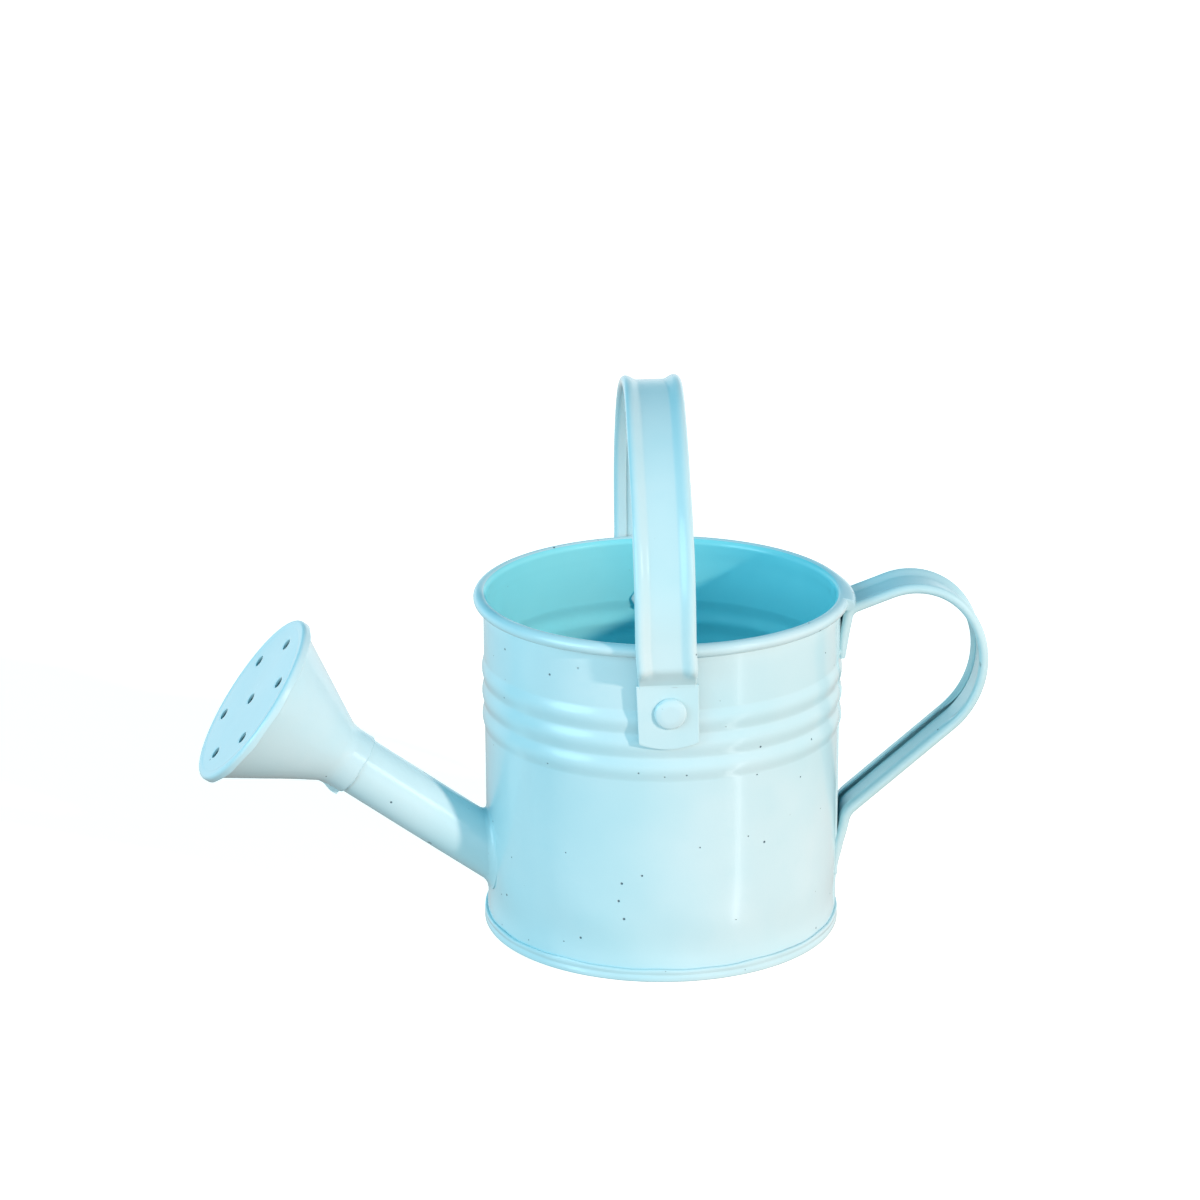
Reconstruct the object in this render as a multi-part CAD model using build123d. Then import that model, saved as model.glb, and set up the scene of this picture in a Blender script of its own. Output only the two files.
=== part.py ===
from build123d import *
from math import asin, atan2, cos, degrees, hypot, radians, sin
import os

# A small tinplate watering can: a rolled and seamed can, a soldered spout with a slip-on rose,
# a swinging bail on two rivets and a fixed side handle.
#
# Frame: millimetres, +Z up, origin at the centre of the can's foot, side handle towards +X,
# bail hinge along Y, spout towards -X.

# ---- can ----
can_radius = 50.0              # outside of the straight wall
tin = 0.5                      # wall sheet
rim_curl_radius = 1.85         # outside of the rolled rim's tube
rim_centre_radius = 51.0       # middle of the rolled rim's tube, from the can's axis
rim_top = 98.2
rim_neck = 91.5                # where the wall starts to lean in to the curl
rim_curl_end = -110.0          # where the curl stops, degrees in the (r, z) section
bead_count = 3
bead_pitch = 6.9
bead_rise = 0.45
beads_top = 79.3
seam_width = 6.0               # the wall's side lap, on the inside behind the side handle
seam_step = 0.4
seam_top = 90.0

# ---- base ----
foot_radius = 50.85            # outside of the seam that joins base and wall
foot_height = 4.0
foot_round = 0.5
floor_height = 3.25            # top of the recessed floor
foot_slot = 0.5                # the wall's lower edge stands this far above the ground

# ---- spout ----
spout_yaw = 6.8                # degrees that the spout is turned from -X towards -Y
spout_tilt = 36.5              # degrees above the ground
spout_axis_z = -13.1           # where the spout's line crosses the can's axis
spout_radius = 8.35
spout_sheet = 0.5
spout_end = 112.5              # end of the tube, along its line from the can's axis
solder_radius = 2.6

# ---- rose ----
rose_sheet = 0.6
rose_fit = 0.05                # radial clearance of the collar on the tube
collar_start = 108.5
collar_end = 112.6
collar_blend = 9.0             # radius of the curve from collar to cone
rose_face_at = 144.6           # outside of the face, along the spout's line
rose_face_radius = 25.8
rose_rim_depth = 2.2           # how far the face's rolled edge wraps back over the cone
rose_rim_sheet = 0.6
hole_radius = 1.7
hole_ring_radius = 17.95
hole_ring_turn = -21.4         # degrees from the spout's horizontal cross line to the first hole
hole_count = 6
lap_length = 6.0               # the collar's lap edge, which stands proud underneath
lap_rise = 1.2
lap_width = 3.0

# ---- handle strips ----
strip_sheet = 0.6
strip_crest = 1.2              # rounded edges stand this far outside the web
strip_hem = 1.0                # folded edges come back this far inside the web
hem_reach = 3.4                # how far the folded edge reaches in from the strip's side
web_half_width = 3.7
bail_width = 16.4
side_width = 17.6

# ---- bail ----
pivot_x = -2.0                 # the rivets sit a little towards the spout
pivot_z = 79.5
rim_gap = 0.45                 # bail leg to the rolled rim
tab_gap = 0.3                  # bail tab to the wall's beads
bail_top = 158.2
bail_lean = 0.7                # degrees towards the spout as it stands
tab_width = 16.9
tab_top = 86.8
tab_bottom = 68.5
tab_sag = 1.8                  # the rounded lower edge
joggle_top = 92.0
joggle_bend = 0.5

# ---- rivets ----
rivet_radius = 2.0
rivet_fit = 0.05               # radial clearance of the bail's hole on the rivet
rivet_play = 0.15              # tab to the rivet's head
rivet_head_radius = 4.5
rivet_head_height = 1.4
rivet_head_round = 0.9
rivet_tail_radius = 3.2
rivet_tail_height = 0.9
rivet_tail_gap = 0.3           # clinched end to the wall's inside
rivet_bore_radius = 1.4
rivet_bore_depth = 4.0

# ---- side handle: the web's middle line, from the upper end round the loop to the lower end ----
grip_start_x = 51.84           # the upper end stands just off the wall
grip_start_z = 78.9
grip_heading = 83.8            # degrees above the ground, seen with +X to the right
grip_runs = [
    ("straight", 12.4),
    ("turn", 3.2, 20.8),       # radius, new heading
    ("straight", 9.8),
    ("turn", 18.6, -55.2),
    ("turn", 24.0, -90.0),
    ("turn", 25.2, -139.1),
    ("straight", 33.8),
    ("turn", 10.0, -98.0),
    ("straight", 15.0),
]
weld_radius = 1.5
weld_length = 2.4
upper_weld_z = 80.8
lower_weld_z = 18.0


def edge_loop(*edges):
    """The flat face inside a closed run of edges."""
    return make_face(Curve() + list(edges))


def lathe(face):
    """A face drawn as (radius, height), turned about Z."""
    return revolve(Plane.XZ * face, axis=Axis.Z)


def arc_about(centre, radius, start, end):
    """A circular arc about a point, angles in degrees from the first axis towards the second."""
    points = []
    for angle in (start, (start + end) / 2, end):
        turn = radians(angle)
        points.append((centre[0] + radius * cos(turn), centre[1] + radius * sin(turn)))
    return ThreePointArc(*points)


# ---- can: wall, beads, rolled rim and inner lap ----
def wall_side(radius):
    """One side of the wall from the foot to the rim's neck, with its beads."""
    beads_foot = beads_top - bead_count * bead_pitch
    edges = [Line((radius, foot_slot), (radius, beads_foot))]
    for i in range(bead_count):
        low = beads_foot + i * bead_pitch
        crest = (radius + bead_rise, low + bead_pitch / 2)
        edges.append(ThreePointArc((radius, low), crest, (radius, low + bead_pitch)))
    edges.append(Line((radius, beads_top), (radius, rim_neck)))
    return edges


def make_body_wall():
    inner = can_radius - tin
    middle = can_radius - tin / 2
    foot = Line((inner, foot_slot), (can_radius, foot_slot))
    neck = Line((inner, rim_neck), (can_radius, rim_neck))
    straight = edge_loop(foot, *wall_side(can_radius), neck, *wall_side(inner))

    centre = (rim_centre_radius, rim_top - rim_curl_radius)
    rise = centre[1] - rim_neck
    out = centre[0] - middle
    curl_middle = rim_curl_radius - tin / 2
    curl_start = degrees(asin(curl_middle / hypot(out, rise)) + atan2(rise, out)) + 90
    outer_arc = arc_about(centre, rim_curl_radius, curl_start, rim_curl_end)
    inner_arc = arc_about(centre, rim_curl_radius - tin, curl_start, rim_curl_end)
    curl_foot = Line(inner_arc @ 0, outer_arc @ 0)
    curl = edge_loop(outer_arc, Line(outer_arc @ 1, inner_arc @ 1), inner_arc, curl_foot)
    # the wall leans in to meet the curl, its inside running into the curl's outside
    lean_in = edge_loop(
        neck,
        Line((can_radius, rim_neck), inner_arc @ 0),
        curl_foot,
        Line(outer_arc @ 0, (inner, rim_neck)),
    )
    wall = lathe(straight) + lathe(lean_in) + lathe(curl)

    # the lap follows the beads, and starts in the middle of the wall's sheet
    lap_foot = Line((inner - seam_step, foot_slot), (middle, foot_slot))
    lap_neck = Line((inner - seam_step, rim_neck), (middle, rim_neck))
    lap = lathe(edge_loop(lap_foot, *wall_side(middle), lap_neck, *wall_side(inner - seam_step)))
    lap_reach = Box(20, seam_width, seam_top - foot_height)
    wall += lap & Pos(inner, 0, (seam_top + foot_height) / 2) * lap_reach

    wall -= spout_cylinder(spout_radius - spout_sheet, 0, spout_end)
    for side in (-1, 1):
        hole = Pos(pivot_x, side * can_radius, pivot_z) * Rot(90, 0, 0)
        wall -= hole * Cylinder(rivet_radius, 10)
    return wall


def make_base_plate():
    inner = can_radius - tin
    corners = [
        (0, floor_height - tin),
        (inner - tin, floor_height - tin),
        (inner - tin, 0),
        (foot_radius, 0),
        (foot_radius, foot_height),
        (can_radius, foot_height),
        (can_radius, foot_slot),
        (inner, foot_slot),
        (inner, floor_height),
        (0, floor_height),
    ]
    plate = lathe(make_face(Polyline(*corners, close=True)))
    rolled = plate.edges().filter_by(GeomType.CIRCLE)
    rolled = rolled.filter_by(lambda e: abs(e.radius - foot_radius) < 0.01)
    return fillet(rolled, foot_round)


# ---- spout and rose, drawn along a local Z that runs out along the spout ----
spout_heading = Vector(
    -cos(radians(spout_yaw)) * cos(radians(spout_tilt)),
    -sin(radians(spout_yaw)) * cos(radians(spout_tilt)),
    sin(radians(spout_tilt)),
)
spout_across = Vector(sin(radians(spout_yaw)), -cos(radians(spout_yaw)), 0)
spout_place = Plane(
    origin=(0, 0, spout_axis_z), x_dir=spout_across, z_dir=spout_heading
).location


def spout_cylinder(radius, start, end):
    return spout_place * Pos(0, 0, (start + end) / 2) * Cylinder(radius, end - start)


def can_body():
    """The can's outside as one solid cylinder, carried on below the ground."""
    return Cylinder(can_radius, 2 * rim_top)


def beaded_body():
    """The can's outside as one solid, with its beads."""
    top = Line((can_radius, rim_neck), (0, rim_neck))
    axis = Line((0, rim_neck), (0, foot_slot))
    foot = Line((0, foot_slot), (can_radius, foot_slot))
    return lathe(edge_loop(foot, *wall_side(can_radius), top, axis))


def make_spout_tube():
    tube = spout_cylinder(spout_radius, 30, spout_end)
    tube -= spout_cylinder(spout_radius - spout_sheet, 20, spout_end + 10)
    return tube - can_body()


def make_spout_solder():
    tube = spout_cylinder(spout_radius, 30, spout_end)
    joined = can_body() + tube
    root = joined.edges().filter_by(
        lambda e: e.geom_type not in (GeomType.CIRCLE, GeomType.LINE)
    )
    return fillet(root, solder_radius) - can_body() - tube


def make_rose_cone():
    bore = spout_radius + rose_fit
    middle = bore + rose_sheet / 2
    mouth_radius = rose_face_radius - rose_rim_sheet - rose_sheet / 2
    mouth_at = rose_face_at - rose_rim_sheet - rose_sheet / 2
    collar = Line((middle, collar_start), (middle, collar_end))
    # an arc turns from the collar's line to the one straight run that ends at the mouth
    rise = mouth_radius - middle - collar_blend
    run = mouth_at - collar_end
    flare = degrees(atan2(rise, run) + asin(collar_blend / hypot(rise, run)))
    blend_centre = (middle + collar_blend, collar_end)
    blend = arc_about(blend_centre, collar_blend, 180, 180 - flare)
    cone = Line(blend @ 1, (mouth_radius, mouth_at))
    shell = lathe(thicken_line([collar, blend, cone], rose_sheet))
    lap = Box(lap_width, lap_rise + rose_sheet, lap_length)
    lap = Pos(0, -(middle + (lap_rise + rose_sheet) / 2), collar_start + lap_length / 2) * lap
    return spout_place * (shell + lap)


def make_rose_face():
    disc = Pos(0, 0, rose_face_at - rose_rim_sheet / 2) * Cylinder(rose_face_radius, rose_rim_sheet)
    rim = Cylinder(rose_face_radius, rose_rim_depth)
    rim -= Cylinder(rose_face_radius - rose_rim_sheet, rose_rim_depth)
    face = disc + Pos(0, 0, rose_face_at - rose_rim_depth / 2) * rim
    outer = face.edges().filter_by(GeomType.CIRCLE).filter_by(
        lambda e: abs(e.radius - rose_face_radius) < 0.01 and abs(e.center().Z - rose_face_at) < 0.01
    )
    face = fillet(outer, 0.5)
    face -= Pos(0, 0, rose_face_at) * Cylinder(hole_radius, 4)
    for i in range(hole_count):
        turn = Rot(0, 0, hole_ring_turn + i * 360 / hole_count)
        face -= turn * Pos(hole_ring_radius, 0, rose_face_at) * Cylinder(hole_radius, 4)
    return spout_place * face


# ---- strips ----
def thicken_line(edges, thickness):
    """A run of tangent edges given a thickness, half to each side."""
    return trace(Curve() + list(edges), line_width=thickness)


def strip_section(width):
    """The hemmed strip's section: X across, Y outwards, the web's middle line at Y = 0."""
    roll = (strip_crest + strip_hem) / 2
    roll_x = width / 2 - strip_sheet / 2 - roll
    roll_y = (strip_crest - strip_hem) / 2
    slope = (roll_x - web_half_width) / 2
    ease = (slope**2 + (strip_crest / 2) ** 2) / strip_crest
    section = trace(Line((-web_half_width, 0), (web_half_width, 0)), line_width=strip_sheet)
    for side in (-1, 1):
        web_end = (side * web_half_width, 0)
        half_way = (side * (web_half_width + slope), strip_crest / 2)
        crest = (side * roll_x, strip_crest)
        under = (side * roll_x, -strip_hem)
        lip = (side * (width / 2 - hem_reach), -strip_hem)
        edges = [
            TangentArc(web_end, half_way, tangent=(side, 0)),
            TangentArc(crest, half_way, tangent=(-side, 0)),
            ThreePointArc(crest, (side * (roll_x + roll), roll_y), under),
            Line(under, lip),
        ]
        for edge in edges:
            section += trace(edge, line_width=strip_sheet)
    return section


def strip_along(path, width, outwards):
    """The strip swept along a path, its rounded crests facing outwards at the path's start."""
    start = Plane(origin=path @ 0, x_dir=outwards.cross(path % 0), z_dir=path % 0)
    return sweep(start * strip_section(width), path=path)


def bent_plate(points, bend, thickness, width, plane):
    """A plate along a bent line in a plane, extruded equally to both sides of it."""
    line = FilletPolyline(*points, radius=bend)
    return extrude(plane * trace(line, line_width=thickness), amount=width / 2, both=True)


# ---- bail ----
bead_radius = can_radius + bead_rise
tab_y = bead_radius + tab_gap + strip_sheet / 2
leg_y = rim_centre_radius + rim_curl_radius + rim_gap + strip_hem + strip_sheet / 2
arch_z = bail_top - leg_y - strip_crest - strip_sheet / 2


def make_bail_handle():
    leg = Line((0, -leg_y, joggle_top), (0, -leg_y, arch_z))
    arch = ThreePointArc((0, -leg_y, arch_z), (0, 0, arch_z + leg_y), (0, leg_y, arch_z))
    other_leg = Line((0, leg_y, arch_z), (0, leg_y, joggle_top))
    path = Wire([leg.edge(), arch.edge(), other_leg.edge()])
    bail = strip_along(path, bail_width, Vector(0, -1, 0))

    half = tab_width / 2
    corner = tab_bottom + tab_sag
    top = joggle_top + 1
    outline = edge_loop(
        Polyline((-half, corner), (-half, top), (half, top), (half, corner)),
        ThreePointArc((half, corner), (0, tab_bottom), (-half, corner)),
    )
    trim = extrude(Plane.XZ * outline, amount=can_radius * 2, both=True)
    for side in (-1, 1):
        points = [
            (side * leg_y, top),
            (side * leg_y, joggle_top),
            (side * tab_y, tab_top),
            (side * tab_y, tab_bottom - 1),
        ]
        tab = bent_plate(points, joggle_bend, strip_sheet, tab_width, Plane.YZ)
        tab &= trim
        tab -= Pos(0, side * tab_y, pivot_z) * Rot(90, 0, 0) * Cylinder(rivet_radius + rivet_fit, 4)
        bail += tab
    to_pivot = Pos(pivot_x, 0, pivot_z) * Rot(0, -bail_lean, 0) * Pos(0, 0, -pivot_z)
    return to_pivot * bail


def make_rivet(side):
    """A semi-tubular rivet, drawn with its axis along Z and its head up, then laid along Y."""
    head_under = tab_y + strip_sheet / 2 + rivet_play
    tail_top = can_radius - tin - rivet_tail_gap
    tail_foot = tail_top - rivet_tail_height
    head = Pos(0, 0, head_under + rivet_head_height / 2) * Cylinder(rivet_head_radius, rivet_head_height)
    head = fillet(head.edges().sort_by(Axis.Z)[-1], rivet_head_round)
    shank = Pos(0, 0, (head_under + tail_foot) / 2) * Cylinder(rivet_radius, head_under - tail_foot)
    tail = Pos(0, 0, tail_foot + rivet_tail_height / 2) * Cylinder(rivet_tail_radius, rivet_tail_height)
    tail = fillet(tail.edges().sort_by(Axis.Z)[0], rivet_tail_height / 2)
    bore = Pos(0, 0, tail_foot + rivet_bore_depth / 2) * Cylinder(rivet_bore_radius, rivet_bore_depth)
    return Pos(pivot_x, 0, pivot_z) * Rot(-90 * side, 0, 0) * (head + shank + tail - bore)


# ---- side handle ----
def grip_path():
    """The loop's middle line, walked as (x, z) from its upper end."""
    at = Vector(grip_start_x, grip_start_z)
    heading = grip_heading
    edges = []
    for kind, size, *new_heading in grip_runs:
        ahead = Vector(cos(radians(heading)), sin(radians(heading)))
        if kind == "straight":
            edge = Line(at, at + ahead * size)
        else:
            side = 1 if new_heading[0] > heading else -1
            centre = at + Vector(-ahead.Y, ahead.X) * size * side
            start = heading - 90 * side
            edge = arc_about((centre.X, centre.Y), size, start, start + new_heading[0] - heading)
            heading = new_heading[0]
        edges.append(edge)
        at = edge @ 1
    return edges


def make_side_handle():
    path = Wire([(Plane.XZ * edge).edge() for edge in grip_path()])
    start = radians(grip_heading)
    handle = strip_along(path, side_width, Vector(-sin(start), 0, cos(start)))
    # spot welds tie the rounded edges to the wall
    edge_y = side_width / 2 - strip_sheet / 2 - (strip_crest + strip_hem) / 2
    for z in (upper_weld_z, lower_weld_z):
        for side in (-1, 1):
            handle += Pos(can_radius, side * edge_y, z) * Rot(0, 90, 0) * Cylinder(weld_radius, weld_length)
    return handle - beaded_body()


def main():
    os.makedirs("parts", exist_ok=True)
    nodes = {
        "body_wall": make_body_wall(),
        "base_plate": make_base_plate(),
        "spout_tube": make_spout_tube(),
        "spout_solder": make_spout_solder(),
        "rose_cone": make_rose_cone(),
        "rose_face": make_rose_face(),
        "bail_handle": make_bail_handle(),
        "front_rivet": make_rivet(-1),
        "back_rivet": make_rivet(1),
        "side_handle": make_side_handle(),
    }
    for name, shape in nodes.items():
        export_step(shape, f"parts/{name}.step")
        print(name, round(shape.volume, 1), shape.is_valid)


main()
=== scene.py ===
import math

import bmesh
import bpy
import numpy as np
from mathutils import Matrix, Vector


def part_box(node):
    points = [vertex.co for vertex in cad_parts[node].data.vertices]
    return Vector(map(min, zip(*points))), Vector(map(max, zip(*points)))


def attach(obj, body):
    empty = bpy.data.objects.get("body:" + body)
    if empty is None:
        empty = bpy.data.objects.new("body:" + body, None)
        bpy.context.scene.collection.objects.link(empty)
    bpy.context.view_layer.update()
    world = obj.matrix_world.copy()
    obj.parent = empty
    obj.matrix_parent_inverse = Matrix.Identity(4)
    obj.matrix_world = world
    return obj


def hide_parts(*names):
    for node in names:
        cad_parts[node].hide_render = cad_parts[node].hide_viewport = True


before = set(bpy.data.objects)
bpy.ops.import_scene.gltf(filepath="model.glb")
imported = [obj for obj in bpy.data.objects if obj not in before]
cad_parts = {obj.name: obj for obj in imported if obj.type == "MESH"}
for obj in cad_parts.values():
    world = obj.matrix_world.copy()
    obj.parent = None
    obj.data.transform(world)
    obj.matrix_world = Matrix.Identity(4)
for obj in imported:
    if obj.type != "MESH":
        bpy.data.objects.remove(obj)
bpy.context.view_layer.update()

# A small painted tinplate watering can. Shapes are worked out in millimetres in the CAD's frame:
# origin at the centre of the foot, +Z up, side handle towards +X, spout towards -X.
MM = 0.001


def box_mm(node):
    low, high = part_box(node)
    return Vector(low) / MM, Vector(high) / MM


# ---- sizes taken from the frame ----
RIM_TOP = box_mm("body_wall")[1].z
FOOT_RADIUS = box_mm("base_plate")[1].x
FOOT_HEIGHT = box_mm("base_plate")[1].z

# ---- sizes that follow the CAD source's, a little changed where the real tin is uneven ----
CAN_RADIUS = 50.0
TIN = 0.5
WALL_FOOT = 0.7
RIM_CURL = 1.85
RIM_CENTRE = 51.0
RIM_NECK = 91.5
RIM_CURL_END = -110.0
BEAD_COUNT = 3
BEAD_PITCH = 6.9
BEAD_RISE = 0.62
BEADS_TOP = 79.3
BEADS_FOOT = BEADS_TOP - BEAD_COUNT * BEAD_PITCH
WAIST_AT = 9.5
WAIST_DEPTH = 0.35
FLOOR_TOP = 3.25
FLOOR_UNDER = 2.45

# the wall's overlap, as turns from the side handle; its outer edge is in front, its inner behind
LAP_OUTER = math.radians(-14.7)
LAP_INNER = math.radians(9.0)
LAP_STEP = 0.42
LAP_FADE = math.radians(24)
LAP_SLIP = math.radians(5.2)
LAP_SLIP_TOP = 78.0
LAP_SLIP_RUN = 7.0
RIM_SWELL = 1.9
RIM_SWELL_TAIL = math.radians(34)

SPOUT_YAW = math.radians(6.8)
SPOUT_TILT = math.radians(36.5)
SPOUT_ORIGIN = np.array([0.0, 0.0, -13.1])
SPOUT_RADIUS = 8.35
SPOUT_SHEET = 0.5
SPOUT_END = 112.5
SPOUT_SEAM = 0.16
SOLDER_REACH = 2.25

COLLAR_START = 108.5
COLLAR_END = 112.6
COLLAR_BLEND = 9.0
COLLAR_BORE = 8.4
ROSE_SHEET = 0.6
ROSE_LAP = 0.3
FLAP_HALF_ANGLE = 13
FLAP_LIFT = 1.0
FACE_AT = 144.6
FACE_RADIUS = 25.8
FACE_DEPTH = 2.2
FACE_SHEET = 0.56
HOLE_RADIUS = 1.7
HOLE_DIP = 0.12
HOLE_RING = 17.95
HOLE_TURN = math.radians(-21.4)
HOLE_COUNT = 6

STRIP_SHEET = 0.6
STRIP_CREST = 1.2
STRIP_HEM = 1.0
STRIP_REACH = 3.4
STRIP_WEB = 3.7
STRIP_TIP = 3                         # points on each round end of a strip's section
BAIL_WIDTH = 16.4
BAIL_NECK_WIDTH = 15.7
SIDE_WIDTH = 17.6
PIVOT = (-2.0, 79.5)
LEG_Y = 54.6
TAB_Y = 51.05
BAIL_LEAN = math.radians(0.7)
BAIL_CROWN = 158.17                   # before it leans
JOGGLE_TOP = 92.0
TAB_TOP = 86.8
TAB_BOTTOM = 68.5
TAB_SAG = 1.8
TAB_WIDTH = 16.9
TAB_LEAN = 0.5
TAB_HALF_SHEET = 0.34
TAB_SOFT_EDGE = 0.2

RIVET_RADIUS = 2.0
RIVET_PLAY = 0.07
RIVET_HEAD = 4.5
RIVET_DOME = 1.4
RIVET_TAIL = 3.15
RIVET_HOLLOW = 1.4
RIVET_OFF_CENTRE = (0.7, -0.6)        # the front head's, towards the side handle and down

# the side handle's middle line: (0, length) is straight, (radius, heading) turns to a new heading
GRIP_START = (50.86, 78.9)
GRIP_HEADING = 83.8
GRIP_RUNS = [
    (0, 12.1),
    (3.2, 20.8),
    (0, 10.85),
    (18.6, -55.2),
    (24.0, -90.0),
    (25.2, -139.1),
    (0, 36.8),
    (6.5, -101.0),
    (0, 6.3),
    (12.0, -91.0),
    (0, 8.2),
]
GRIP_LEG_HEADING = math.radians(-122)
PIP_RADIUS = 1.5
PIP_HALF_LENGTH = 0.42
PIP_SINK = 0.33
PIP_HEIGHTS = (80.8, 18.0)


# ---- lines and sections ----
def smooth(t):
    t = np.clip(t, 0, 1)
    return t * t * (3 - 2 * t)


def bump(x, middle, half_width):
    """A smooth hump that is 1 at the middle and 0 beyond half_width."""
    return smooth(1 - np.abs(x - middle) / half_width)


def arc(centre, radius, start, end, count):
    """Points on an arc; angles in degrees."""
    turn = np.radians(np.linspace(start, end, count))
    return np.stack([centre[0] + radius * np.cos(turn), centre[1] + radius * np.sin(turn)], 1)


def straight(a, b, step):
    """Points from a to b, without b."""
    count = max(1, round(math.dist(a, b) / step))
    return np.linspace(a, b, count, endpoint=False)


def rounded(corners, step, closed=False):
    """A line through (x, y, radius) corners, each one rounded, with straight parts in steps."""
    points = [np.array(c[:2], float) for c in corners]
    count = len(corners)
    pieces = []
    for i, (here, corner) in enumerate(zip(points, corners)):
        radius = corner[2]
        ends = not closed and i in (0, count - 1)
        if radius == 0 or ends:
            pieces.append(here[None, :])
            continue
        to_last = points[i - 1] - here
        to_next = points[(i + 1) % count] - here
        to_last /= np.linalg.norm(to_last)
        to_next /= np.linalg.norm(to_next)
        half = math.acos(np.clip(to_last @ to_next, -1, 1)) / 2
        reach = radius / math.tan(half)
        middle = (to_last + to_next) / np.linalg.norm(to_last + to_next)
        centre = here + middle * radius / math.sin(half)
        first = here + to_last * reach - centre
        last = here + to_next * reach - centre
        turn = math.pi - 2 * half
        steps = max(3, math.ceil(math.degrees(turn) / 10))
        share = np.linspace(0, 1, steps + 1)[:, None]
        blend = (np.sin((1 - share) * turn) * first + np.sin(share * turn) * last) / math.sin(turn)
        pieces.append(centre + blend)
    line = []
    for i, piece in enumerate(pieces):
        line.append(piece[:-1] if len(piece) > 1 else piece[:0])
        if i + 1 < count or closed:
            line.append(straight(piece[-1], pieces[(i + 1) % count][0], step))
        else:
            line.append(piece[-1:])
    return np.concatenate(line)


def directions(line):
    """The way ahead and the way left at every point of a line."""
    ahead = np.gradient(line, axis=0)
    ahead /= np.linalg.norm(ahead, axis=1)[:, None]
    return ahead, np.stack([-ahead[:, 1], ahead[:, 0]], 1)


def lengths(line):
    """How far along a line each of its points lies."""
    return np.concatenate([[0], np.cumsum(np.linalg.norm(np.diff(line, axis=0), axis=1))])


def thick(line, thickness, tip=4):
    """A closed outline round a line: left side, round end, right side back, round end."""
    ahead, left = directions(line)
    half = thickness / 2
    turns = np.radians(np.linspace(90, -90, tip + 2)[1:-1])[:, None]
    far_tip = line[-1] + half * (np.cos(turns) * ahead[-1] + np.sin(turns) * left[-1])
    near_tip = line[0] - half * (np.cos(turns) * ahead[0] + np.sin(turns) * left[0])
    return np.concatenate([line + left * half, far_tip, (line - left * half)[::-1], near_tip])


# ---- meshes ----
def grid(points, wrap_rows):
    """Quads over an array of rows of points; every row is a closed loop."""
    rows, columns = points.shape[:2]
    index = np.arange(rows * columns).reshape(rows, columns)
    here = index if wrap_rows else index[:-1]
    above = np.roll(index, -1, 0) if wrap_rows else index[1:]
    quads = np.stack([here, np.roll(here, -1, 1), np.roll(above, -1, 1), above], -1)
    return points.reshape(-1, 3), quads.reshape(-1, 4)


def join(*parts):
    """Several (vertices, faces) as one."""
    verts, faces, start = [], [], 0
    for v, f in parts:
        verts.append(v)
        faces += [[int(i) + start for i in face] for face in f]
        start += len(v)
    return np.concatenate(verts), faces


def mesh_from(name, verts, faces):
    mesh = bpy.data.meshes.new(name)
    mesh.from_pydata((np.asarray(verts) * MM).tolist(), [], [list(map(int, f)) for f in faces])
    work = bmesh.new()
    work.from_mesh(mesh)
    bmesh.ops.remove_doubles(work, verts=work.verts, dist=1e-7)
    bmesh.ops.recalc_face_normals(work, faces=work.faces)
    work.to_mesh(mesh)
    work.free()
    mesh.shade_smooth()
    return mesh


def plain_object(name, verts, faces):
    obj = bpy.data.objects.new(name, mesh_from(name, verts, faces))
    bpy.context.scene.collection.objects.link(obj)
    return obj


def cut(obj, cutters):
    """Takes the cutters out of obj and leaves the result as plain mesh."""
    for cutter in cutters:
        modifier = obj.modifiers.new("cut", "BOOLEAN")
        modifier.operation = "DIFFERENCE"
        modifier.solver = "EXACT"
        modifier.object = cutter
    graph = bpy.context.evaluated_depsgraph_get()
    mesh = bpy.data.meshes.new_from_object(obj.evaluated_get(graph))
    obj.modifiers.clear()
    obj.data = mesh
    for cutter in cutters:
        bpy.data.objects.remove(cutter)


def piece(obj, body, nodes, slot, material, sharp=38):
    """The object stands for its CAD nodes, rides on their body and takes its material."""
    obj.data.materials.clear()
    obj.data.materials.append(material)
    obj.data.shade_smooth()
    obj.data.set_sharp_from_angle(angle=math.radians(sharp))
    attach(obj, body)
    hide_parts(*nodes)


def paint_inside_shade(obj):
    """Gives the can's inner faces a deeper, more saturated paint, which is painted shade: it stands
    in for the shade and bounced light inside the can.
    """
    mesh = obj.data
    mesh.materials.append(inside_shade_paint)
    count = len(mesh.polygons)
    centre, normal = np.zeros(count * 3), np.zeros(count * 3)
    mesh.polygons.foreach_get("center", centre)
    mesh.polygons.foreach_get("normal", normal)
    centre, normal = centre.reshape(-1, 3) / MM, normal.reshape(-1, 3)
    radius = np.hypot(centre[:, 0], centre[:, 1])
    inward = (centre[:, :2] * normal[:, :2]).sum(1) / np.maximum(radius, 1) < -0.25
    floor = (normal[:, 2] > 0.25) & (radius < CAN_RADIUS - 0.6)
    # the beads stand out beyond the can's radius, the rim's curl is painted like the outside
    limit = np.where(centre[:, 2] < RIM_NECK, CAN_RADIUS + 1, CAN_RADIUS - 0.02)
    inner = ((inward & (radius < limit)) | floor) & (centre[:, 2] > 2.9)
    mesh.polygons.foreach_set("material_index", inner.astype(np.int32))


def lathe(outline, angles, change=None):
    """A closed outline of (radius, height) turned about Z; change may move its points."""
    turn = np.asarray(angles)[:, None]
    radius = np.broadcast_to(outline[:, 0], (len(angles), len(outline)))
    height = np.broadcast_to(outline[:, 1], (len(angles), len(outline)))
    if change:
        radius, height = change(turn, radius, height)
    points = np.stack([radius * np.cos(turn), radius * np.sin(turn), height + 0 * turn], -1)
    return grid(points, True)


def even_turn(count):
    return np.linspace(0, 2 * math.pi, count, endpoint=False)


def placed(verts, origin, x_dir, y_dir, z_dir):
    return origin + verts @ np.array([x_dir, y_dir, z_dir])


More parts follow.
